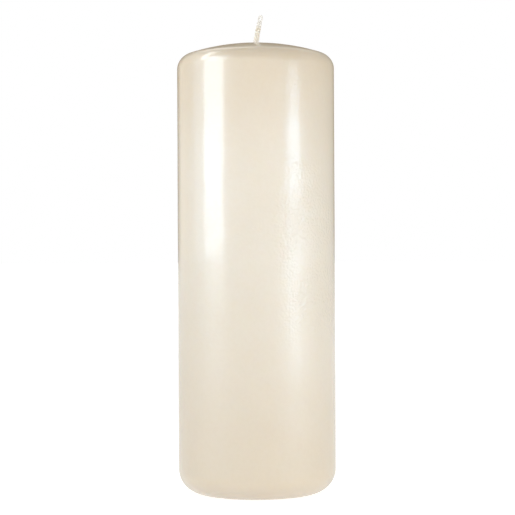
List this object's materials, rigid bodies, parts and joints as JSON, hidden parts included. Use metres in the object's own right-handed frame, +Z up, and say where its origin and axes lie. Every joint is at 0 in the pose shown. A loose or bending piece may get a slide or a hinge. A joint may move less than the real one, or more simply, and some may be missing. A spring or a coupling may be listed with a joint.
{
  "type": "pillar candle",
  "caption": "Tall round domed pillar candle with a glossy dipped skin over a pressed wax body, a braided wick with a bendable free end and a metal wick sustainer.",
  "frame": {"origin": "centre of the flat base, on the floor", "axes": "+Z up along the candle and its wick, +X the way the free end of the wick leans, -Y the side that is looked at"},
  "size_m": [0.07, 0.07, 0.2131],
  "materials": {
    "pressed_wax": "matt, grainy pressed paraffin wax",
    "glossy_wax": "glossy ivory dipped wax",
    "cotton": "braided cotton, waxed at its foot",
    "tinned_steel": "dull tinned sheet"
  },
  "bodies": {
    "candle": {"wax_core": "pressed_wax", "overdip_skin": "glossy_wax", "wick": "cotton", "wick_sustainer": "tinned_steel"},
    "wick_end": {"wick_tip": "cotton"}
  },
  "joints": [
    {"name": "wick_bend", "type": "hinge", "parent": "candle", "child": "wick_end", "pos_m": [0, 0, 0.2019], "axis": [0, 1, 0], "range_deg": [-85, 60]}
  ]
}
